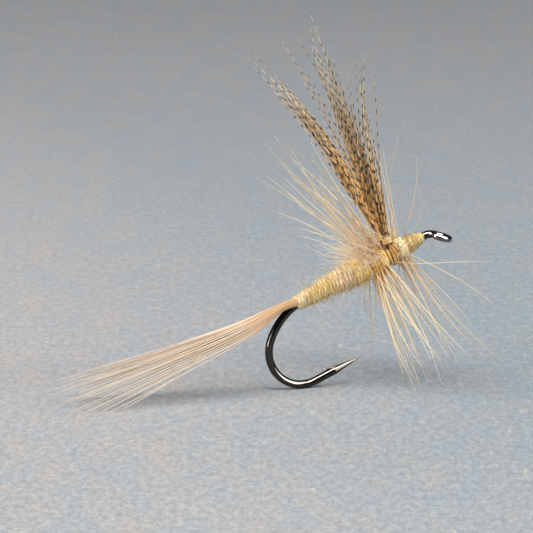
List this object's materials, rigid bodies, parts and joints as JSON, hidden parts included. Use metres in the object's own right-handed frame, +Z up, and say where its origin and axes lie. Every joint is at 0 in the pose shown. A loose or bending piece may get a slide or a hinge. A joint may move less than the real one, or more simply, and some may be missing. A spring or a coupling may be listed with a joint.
{
  "type": "dry fly",
  "caption": "Divided-wing dry fly tied on a turned-down-eye hook, with a stiff fibre tail, dubbed tapered body, barred upright wings, cream hackle and a small thread head.",
  "frame": {"origin": "middle of the footprint, on the surface that the fly stands on", "axes": "+Z up from that surface, +X forward towards the eye of the hook and the longest extent, +Y to the fly's left"},
  "size_m": [0.0234, 0.0148, 0.0189],
  "materials": {
    "hook_steel": "polished black nickel wire",
    "thread": "waxed gold thread",
    "pale_thread": "pale cream thread",
    "tail_fibre": "glossy honey tan fibre",
    "yellow_dubbing": "soft twisted yellow fur",
    "cream_dubbing": "soft twisted peach cream fur",
    "gold_dubbing": "soft twisted gold fur",
    "guard_hair": "fine pale hair",
    "barred_wing": "tan flank fibre with black bars",
    "hackle_stem": "brown glossy quill",
    "hackle_barb": "translucent cream ginger barb",
    "head_thread": "varnished pale gold thread",
    "clear_cement": "clear glossy head cement"
  },
  "bodies": {
    "root": {"hook": "hook_steel", "thread_base": "thread", "butt_binding_wraps": "thread", "tail_fibres": "tail_fibre", "tail_tie_wraps": "pale_thread", "rear_body_dubbing": "yellow_dubbing", "middle_body_dubbing": "cream_dubbing", "front_body_dubbing": "gold_dubbing", "dubbing_guard_hairs": "guard_hair", "left_wing_fibres": "barred_wing", "right_wing_fibres": "barred_wing", "left_wing_post_wraps": "thread", "right_wing_post_wraps": "thread", "figure_eight_wraps": "thread", "wing_brace_wraps": "thread", "rear_hackle_stem": "hackle_stem", "rear_hackle_barbs": "hackle_barb", "front_hackle_stem": "hackle_stem", "front_hackle_barbs": "hackle_barb", "head_wraps": "head_thread", "whip_finish": "head_thread", "head_cement": "clear_cement"}
  },
  "joints": []
}
